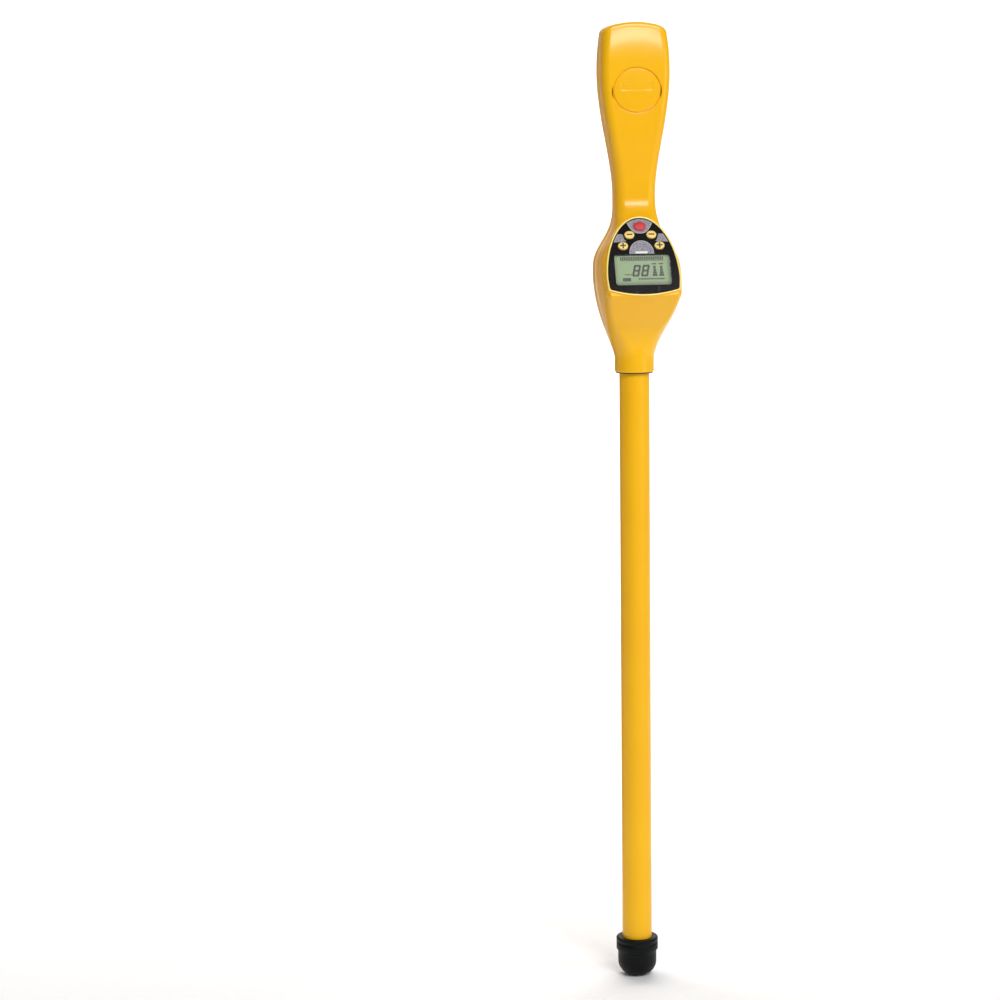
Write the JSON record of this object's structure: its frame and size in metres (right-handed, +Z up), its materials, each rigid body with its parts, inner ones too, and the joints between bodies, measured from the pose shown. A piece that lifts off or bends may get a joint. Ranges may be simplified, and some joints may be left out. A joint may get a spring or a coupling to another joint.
{
  "type": "hand-held magnetic locator wand",
  "caption": "Upright hand-held magnetic locator wand: long sensing tube with black tip cap, moulded yellow head with display, buttons, round speaker cover and rear battery door.",
  "frame": {"origin": "lowest point of the tip cap, on the sensing tube's axis", "axes": "+Z up the tube's axis to the crown, -Y towards the display's side, +X to the right when facing the display"},
  "size_m": [0.0878, 0.0999, 1.0724],
  "materials": {
    "shell_yellow": "smooth semi-gloss moulded plastic",
    "tube_yellow": "smooth tube, satin",
    "panel_black": "fine-textured keypad film",
    "window_clear": "clear acrylic",
    "lcd_green": "grey-green reflective display",
    "backlight_white": "diffuser",
    "steel": "plain steel",
    "stainless": "polished stainless",
    "button_red": "smooth button cap",
    "button_yellow": "smooth button cap",
    "rubber_black": "soft rubber",
    "rubber_grey": "silicone rubber",
    "board_green": "solder-masked circuit board",
    "part_black": "moulded component body",
    "connector_white": "nylon",
    "plastic_dark": "moulded dark plastic",
    "cone_black": "paper cone",
    "ferrite": "ferrite and plated steel",
    "wire_red": "insulated wire",
    "wire_dark": "insulated wire",
    "wire_blue": "insulated wire",
    "cell_blue": "plain battery jacket",
    "rail_tan": "glass-epoxy strip",
    "copper": "enamelled copper winding",
    "foam_grey": "closed-cell foam",
    "cap_black": "moulded black end cap"
  },
  "bodies": {
    "wand": {"front_shell": "shell_yellow", "rear_shell": "shell_yellow", "parting_seal": "rubber_black", "shell_screws": "steel", "collar_gasket": "rubber_black", "control_panel": "panel_black", "display_window": "window_clear", "lcd_frame": "stainless", "lcd_glass": "lcd_green", "backlight": "backlight_white", "key_mat": "rubber_grey", "main_board": "board_green", "key_switches": "part_black", "board_screws": "steel", "board_chips": "part_black", "board_sockets": "connector_white", "speaker_cover": "shell_yellow", "speaker_ring": "plastic_dark", "speaker_basket": "steel", "speaker_cone": "cone_black", "speaker_magnet": "ferrite", "speaker_leads": "wire_red", "battery_holder": "plastic_dark", "batteries": "cell_blue", "battery_contacts": "connector_white", "battery_leads": "wire_dark", "door_seal": "rubber_black", "door_hinge_pin": "stainless", "sensor_tube": "tube_yellow", "tube_seal": "rubber_black", "tube_retainer": "plastic_dark", "tube_connector": "connector_white", "sensor_rail": "rail_tan", "upper_sensor": "copper", "lower_sensor": "copper", "centring_discs": "foam_grey", "sensor_leads": "wire_blue", "tip_plug": "plastic_dark", "tip_cap": "cap_black"},
    "power_button": {"power_button": "button_red"},
    "volume_down_button": {"volume_down_button": "button_yellow"},
    "volume_up_button": {"volume_up_button": "button_yellow"},
    "sensitivity_down_button": {"sensitivity_down_button": "button_yellow"},
    "sensitivity_up_button": {"sensitivity_up_button": "button_yellow"},
    "battery_door": {"battery_door": "shell_yellow"},
    "door_latch": {"door_latch": "panel_black", "latch_clip": "stainless"}
  },
  "joints": [
    {"name": "power_press", "type": "slide", "parent": "wand", "child": "power_button", "axis": [0, 0.9026, -0.4305], "range_m": [0, 0.0008], "stiffness_N_per_m": 2000},
    {"name": "volume_down_press", "type": "slide", "parent": "wand", "child": "volume_down_button", "axis": [0, 0.9026, -0.4305], "range_m": [0, 0.0008], "stiffness_N_per_m": 2000},
    {"name": "volume_up_press", "type": "slide", "parent": "wand", "child": "volume_up_button", "axis": [0, 0.9026, -0.4305], "range_m": [0, 0.0008], "stiffness_N_per_m": 2000},
    {"name": "sensitivity_down_press", "type": "slide", "parent": "wand", "child": "sensitivity_down_button", "axis": [0, 0.9026, -0.4305], "range_m": [0, 0.0008], "stiffness_N_per_m": 2000},
    {"name": "sensitivity_up_press", "type": "slide", "parent": "wand", "child": "sensitivity_up_button", "axis": [0, 0.9026, -0.4305], "range_m": [0, 0.0008], "stiffness_N_per_m": 2000},
    {"name": "door_hinge", "type": "hinge", "parent": "wand", "child": "battery_door", "pos_m": [0, 0.024, 0.7605], "axis": [-1, 0, 0], "range_deg": [0, 100]},
    {"name": "latch_turn", "type": "hinge", "parent": "battery_door", "child": "door_latch", "pos_m": [0, 0.0257, 0.8269], "axis": [0, 1, 0], "range_deg": [0, 90]}
  ]
}
